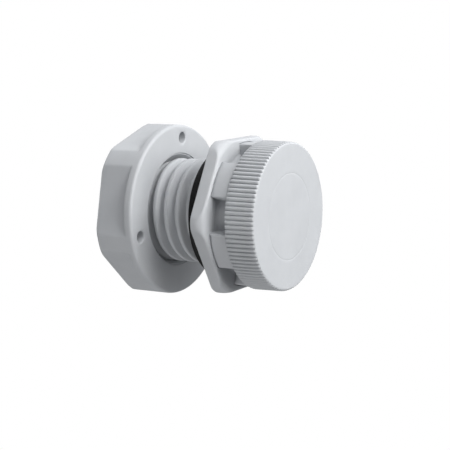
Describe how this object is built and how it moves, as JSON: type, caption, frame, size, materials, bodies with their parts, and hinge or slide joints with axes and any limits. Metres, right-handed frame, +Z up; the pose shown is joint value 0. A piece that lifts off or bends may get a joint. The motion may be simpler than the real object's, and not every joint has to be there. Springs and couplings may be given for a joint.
{
  "type": "cable gland breather plug",
  "caption": "Screw-in breather plug with a knurled clip-on cap, a slotted hex body, a sealing ring, a hollow threaded stem and a round-faced hex lock nut.",
  "frame": {"origin": "on the plug's axis, in the sealing ring's outer face, which is the plane of the outer face of the panel that the plug is screwed to", "axes": "+X along the plug's axis, out of the panel towards the cap; -X through the panel to the lock nut; +Z up; the hex flange has a corner 2 degrees below -Y"},
  "size_m": [0.0196, 0.0196, 0.0196],
  "materials": {
    "housing": "light grey moulded polyamide, satin",
    "inner": "grey moulded polyamide, satin",
    "seal": "black rubber, dull",
    "film": "white expanded fluoropolymer film, dull",
    "fleece": "off-white polyester fleece"
  },
  "bodies": {
    "lock_nut": {"lock_nut": "housing"},
    "sealing_ring": {"sealing_ring": "seal"},
    "plug": {"vent_body": "housing", "vent_cap": "housing", "membrane_carrier": "inner", "carrier_oring": "seal", "membrane_backing": "fleece", "membrane": "film", "retaining_ring": "inner"}
  },
  "joints": [
    {"name": "screw_travel", "type": "slide", "parent": "lock_nut", "child": "sealing_ring", "axis": [1, 0, 0], "range_m": [-0.0055, 0.0015]},
    {"name": "screw_turn", "type": "hinge", "parent": "sealing_ring", "child": "plug", "pos_m": [0, 0, 0], "axis": [1, 0, 0], "range_deg": [-1321, 361]}
  ],
  "couplings": [
    {"joint": "screw_turn", "follows": "screw_travel", "rad_per_m": 4188.8}
  ]
}
